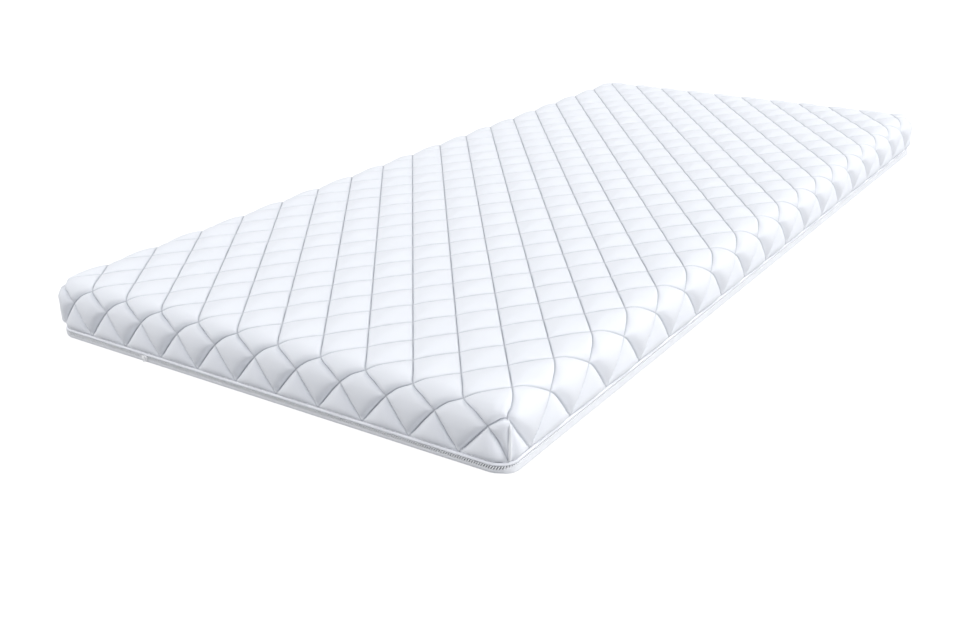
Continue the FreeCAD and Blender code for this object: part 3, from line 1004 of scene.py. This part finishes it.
def cloth_material(name, colour, shade, stitch_and_crease_shade=None, pitch=(1.15 * MM, 1.5 * MM), depth=0.25,
                   roughness=0.85):
    """Knitted or woven cloth: thread pattern from the cloth's own UVs, mottling and sheen. If a third
    colour is given, the cloth darkens towards it along the stitched lines: the thread's dashes and
    painted shade in the creases.
    """
    material, tree, shader = new_material(name)
    set_inputs(shader, {"Roughness": roughness, "Sheen Weight": 0.2, "Sheen Roughness": 0.5,
                        "Specular IOR Level": 0.25})
    uv = tree.nodes.new("ShaderNodeUVMap")
    uv.uv_map = "Cloth"
    split = tree.nodes.new("ShaderNodeSeparateXYZ")
    tree.links.new(uv.outputs[0], split.inputs[0])
    u = math_node(tree, "MULTIPLY", split.outputs[0], 2 * math.pi / pitch[0])
    v = math_node(tree, "MULTIPLY", split.outputs[1], 2 * math.pi / pitch[1])
    wale = math_node(tree, "SINE", u)
    bow = math_node(tree, "MULTIPLY", wale, 0.9)
    course = math_node(tree, "SINE", math_node(tree, "ADD", v, bow))
    thread = math_node(tree, "ADD", wale, course)
    fuzz = texture(tree, "ShaderNodeTexNoise", {"Scale": 90, "Detail": 6})
    fibres = math_node(tree, "MULTIPLY", fuzz.outputs[0], 3.0)
    height = math_node(tree, "ADD", thread, fibres)
    add_bump(tree, height, depth, 0.25 * MM)
    mottle = texture(tree, "ShaderNodeTexNoise", {"Scale": 14, "Detail": 4})
    result = between(tree, mottle.outputs[0], colour, shade)
    # Along the stitched lines the colour is mixed towards the darker third colour, in dashes: partly
    # the thread, partly painted shade in the creases between the puffs.
    if stitch_and_crease_shade:
        near = tree.nodes.new("ShaderNodeAttribute")
        near.attribute_name = "stitch_distance"
        far = math_node(tree, "DIVIDE", near.outputs["Fac"], 2.2 * MM)
        close = tree.nodes.new("ShaderNodeClamp")
        tree.links.new(math_node(tree, "SUBTRACT", 1.0, far), close.inputs["Value"])
        run = math_node(tree, "MULTIPLY", split.outputs[0], 2 * math.pi / STITCH_LENGTH)
        dash = math_node(tree, "SINE", run)
        dash_strength = math_node(tree, "MULTIPLY_ADD", dash, 0.2, 0.7)
        stitch_and_crease_shade_share = math_node(tree, "MULTIPLY", close.outputs[0], dash_strength)
        result = between(tree, stitch_and_crease_shade_share, result, stitch_and_crease_shade)
    tree.links.new(result, shader.inputs["Base Color"])
    return material


def plain_material(name, colour, roughness=0.45, metallic=0.0):
    """Moulded or metal finish with a fine grain in its colour and its surface."""
    material, tree, shader = new_material(name)
    shader.inputs["Metallic"].default_value = metallic
    grain = texture(tree, "ShaderNodeTexNoise", {"Scale": 400, "Detail": 5}).outputs[0]
    darker = [0.93 * c for c in colour]
    tree.links.new(between(tree, grain, darker, colour), shader.inputs["Base Color"])
    rough = math_node(tree, "MULTIPLY_ADD", grain, 0.2, roughness - 0.1)
    tree.links.new(rough, shader.inputs["Roughness"])
    add_bump(tree, grain, 0.15, 0.1 * MM)
    return material


def foam_material(name, colour):
    """Open-cell foam: fine pores over a slightly uneven colour."""
    material, tree, shader = new_material(name)
    set_inputs(shader, {"Roughness": 0.95, "Specular IOR Level": 0.15})
    pores = texture(tree, "ShaderNodeTexVoronoi", {"Scale": 900})
    cloud = texture(tree, "ShaderNodeTexNoise", {"Scale": 25, "Detail": 5})
    darker = [0.9 * c for c in colour]
    result = between(tree, cloud.outputs[0], darker, colour)
    tree.links.new(result, shader.inputs["Base Color"])
    add_bump(tree, pores.outputs["Distance"], 0.5, 0.3 * MM)
    return material


def dress(node, material):
    """Gives a CAD node that stays shown a procedural material."""
    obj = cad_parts[node]
    obj.data.materials.clear()
    obj.data.materials.append(material)


# ---- stage, light and camera


def stage_material(name, grey, glow):
    """A matt surface that glows evenly."""
    material, _, shader = new_material(name)
    set_inputs(shader, {
        "Base Color": (grey, grey, grey, 1), "Roughness": 1.0, "Specular IOR Level": 0.0,
        "Emission Color": (1, 1, 1, 1), "Emission Strength": glow,
    })
    return material


def white_floor():
    """A pale floor, bright enough to read as white, that throws no light back on the sides."""
    size = 30
    points = [(-size, -size, 0), (size, -size, 0), (size, size, 0), (-size, size, 0)]
    material = stage_material("floor_white", 0.35, 0.82)
    floor = new_object("floor", points, [(0, 1, 2, 3)], material, smooth=False)
    floor.location.z = -0.5 * MM
    floor.visible_diffuse = False


def white_backdrop():
    """A round white wall, seen only directly, so that low views end in white as well."""
    radius, foot, height, count = 28, -0.01, 25, 64
    points, faces = [], []
    for k in range(count):
        angle = 2 * math.pi * k / count
        for z in (foot, height):
            points.append((radius * math.cos(angle), radius * math.sin(angle), z))
        n = (k + 1) % count
        faces.append((2 * k, 2 * n, 2 * n + 1, 2 * k + 1))
    material = stage_material("backdrop_white", 0.0, 1.05)
    wall = new_object("backdrop", points, faces, material, smooth=False)
    wall.visible_diffuse = False
    wall.visible_glossy = False
    wall.visible_shadow = False


def area_light(name, place, target, size, power, colour):
    data = bpy.data.lights.new(name, "AREA")
    data.shape = "DISK"
    data.size = size
    data.energy = power
    data.color = colour
    obj = bpy.data.objects.new(name, data)
    bpy.context.scene.collection.objects.link(obj)
    obj.location = place
    obj.rotation_euler = (Vector(target) - Vector(place)).to_track_quat("-Z", "Y").to_euler()


def soft_world():
    """Even light, brighter from above and from the right side, dim from below."""
    world = bpy.data.worlds.new("studio")
    bpy.context.scene.world = world
    world.use_nodes = True
    tree = world.node_tree
    coordinates = tree.nodes.new("ShaderNodeTexCoord")
    towards = tree.nodes.new("ShaderNodeVectorMath")
    towards.operation = "DOT_PRODUCT"
    towards.inputs[1].default_value = (0.30, 0.14, 0.94)
    tree.links.new(coordinates.outputs["Generated"], towards.inputs[0])
    share = math_node(tree, "MULTIPLY_ADD", towards.outputs["Value"], 0.5, 0.5)
    ramp = tree.nodes.new("ShaderNodeValToRGB")
    stops = ramp.color_ramp.elements
    stops[0].position, stops[0].color = 0.30, (0.20, 0.21, 0.23, 1)
    stops[1].position, stops[1].color = 0.95, (0.76, 0.78, 0.815, 1)
    middle = stops.new(0.52)
    middle.color = (0.42, 0.435, 0.47, 1)
    tree.links.new(share, ramp.inputs[0])
    tree.links.new(ramp.outputs[0], tree.nodes["Background"].inputs["Color"])
    tree.nodes["Background"].inputs["Strength"].default_value = 1.0


def studio():
    soft_world()
    floor_level, top_level = (0, 0, 0), (0, 0, TOP)
    white, warm = (1.0, 1.0, 1.0), (1.0, 0.99, 0.97)
    area_light("key", (4.7, 7.9, 7.0), floor_level, 2.2, 400, (1.0, 0.995, 0.98))
    area_light("side_fill", (8.0, 0.4, 1.2), top_level, 3.5, 215, white)
    area_light("front_fill", (-7.5, -6.5, 4.2), top_level, 1.8, 420, warm)
    area_light("corner_fill", (9.2, -7.6, 2.6), top_level, 6.0, 290, white)
    bpy.context.scene.view_settings.view_transform = "Standard"
    white_floor()
    white_backdrop()


def photo_camera():
    """The camera stands off the near corner, by the zip end, and looks along the mattress."""
    data = bpy.data.cameras.new("camera")
    data.lens = 43.3
    data.sensor_width = 36
    camera = bpy.data.objects.new("camera", data)
    bpy.context.scene.collection.objects.link(camera)
    heading, dip, roll = math.radians(33.5), math.radians(22.55), math.radians(-0.56)
    forward = Vector((
        -math.sin(heading) * math.cos(dip), math.cos(heading) * math.cos(dip), -math.sin(dip)
    ))
    turn = forward.to_track_quat("-Z", "Y").to_matrix().to_4x4()
    place = Matrix.Translation((1.139, -2.1023, 0.7652))
    camera.matrix_world = place @ turn @ Matrix.Rotation(roll, 4, "Z")
    bpy.context.scene.camera = camera


# ---- building


def build():
    # The third colour is the darker tint along the stitched lines: the thread, and painted shade in
    # the creases.
    knit = cloth_material("quilted_knit", (0.86, 0.873, 0.905), (0.83, 0.845, 0.88),
                          (0.40, 0.42, 0.46))
    # The corner ridges get a lighter copy of the cover knit: a painted highlight along the raised
    # seam.
    seam_knit_painted_highlight = cloth_material("seam_knit_painted_highlight", (0.94, 0.945, 0.96), (0.91, 0.92, 0.94))
    # The backing's third colour is likewise the thread and painted crease shade along its stitched
    # lines.
    backing = cloth_material("backing_cloth", (0.82, 0.83, 0.84), (0.78, 0.79, 0.81),
                             (0.55, 0.56, 0.58), pitch=(1.0 * MM, 1.0 * MM))
    piping_cloth = cloth_material("piping_cloth", (0.90, 0.91, 0.94), (0.87, 0.88, 0.92),
                                  pitch=(0.9 * MM, 0.9 * MM))
    band_cloth = cloth_material("band_cloth", (0.80, 0.805, 0.83), (0.76, 0.77, 0.79),
                                pitch=(1.2 * MM, 1.2 * MM))
    base_cloth = cloth_material("base_cloth", (0.82, 0.83, 0.86), (0.78, 0.79, 0.83),
                                pitch=(1.4 * MM, 1.4 * MM))
    liner_knit = cloth_material("liner_knit", (0.86, 0.86, 0.87), (0.82, 0.82, 0.84),
                                pitch=(1.6 * MM, 2.0 * MM), depth=0.4)
    satin = cloth_material("label_satin", (0.88, 0.88, 0.88), (0.85, 0.85, 0.86),
                           pitch=(0.4 * MM, 0.4 * MM), roughness=0.45)
    # The zip tape is a darker grey than the cloth around it: painted shade in the recess between the
    # rows of teeth.
    tape_with_painted_shade = plain_material("zip_tape", (0.50, 0.51, 0.54), 0.8)
    coil = plain_material("zip_coil", (0.93, 0.935, 0.95), 0.4)
    metal = plain_material("zip_metal", (0.88, 0.88, 0.89), 0.35, 0.3)
    quilted_cover(knit)
    backing_cloth(backing)
    corner_ridges(seam_knit_painted_highlight)
    piping(piping_cloth)
    base_band(band_cloth)
    zip_teeth("upper_teeth", "upper_zip_coil", "top_cover", coil, 1)
    zip_teeth("lower_teeth", "lower_zip_coil", "base_cover", coil, -1)
    for node in ("upper_zip_tape", "lower_zip_tape"):
        dress(node, tape_with_painted_shade)
    for node in ("upper_end_stop", "lower_end_stop"):
        dress(node, metal)
    zip_slider(metal)
    corner = RING_RADIUS - LINING_INSET
    liner = soft_block("liner", "inner_liner", "foam_core", liner_knit,
                       corner, 19 * MM, 0.5 * MM, 31)
    soft_block("memory_foam", "memory_foam_layer", "foam_core",
               foam_material("memory_foam", (0.88, 0.84, 0.70)), corner, 18 * MM, 0.1 * MM, 32,
               1.1 * MM, "low")
    soft_block("support_foam", "support_foam_base", "foam_core",
               foam_material("support_foam", (0.87, 0.88, 0.89)), corner, 2 * MM, 0.1 * MM, 33,
               1.1 * MM, "high")
    soft_block("base_sheet", "base_panel", "base_cover", base_cloth,
               RING_RADIUS - 6 * MM, 0.5 * MM, 0.12 * MM, 34)
    label(satin)


photo_camera()
studio()
build()
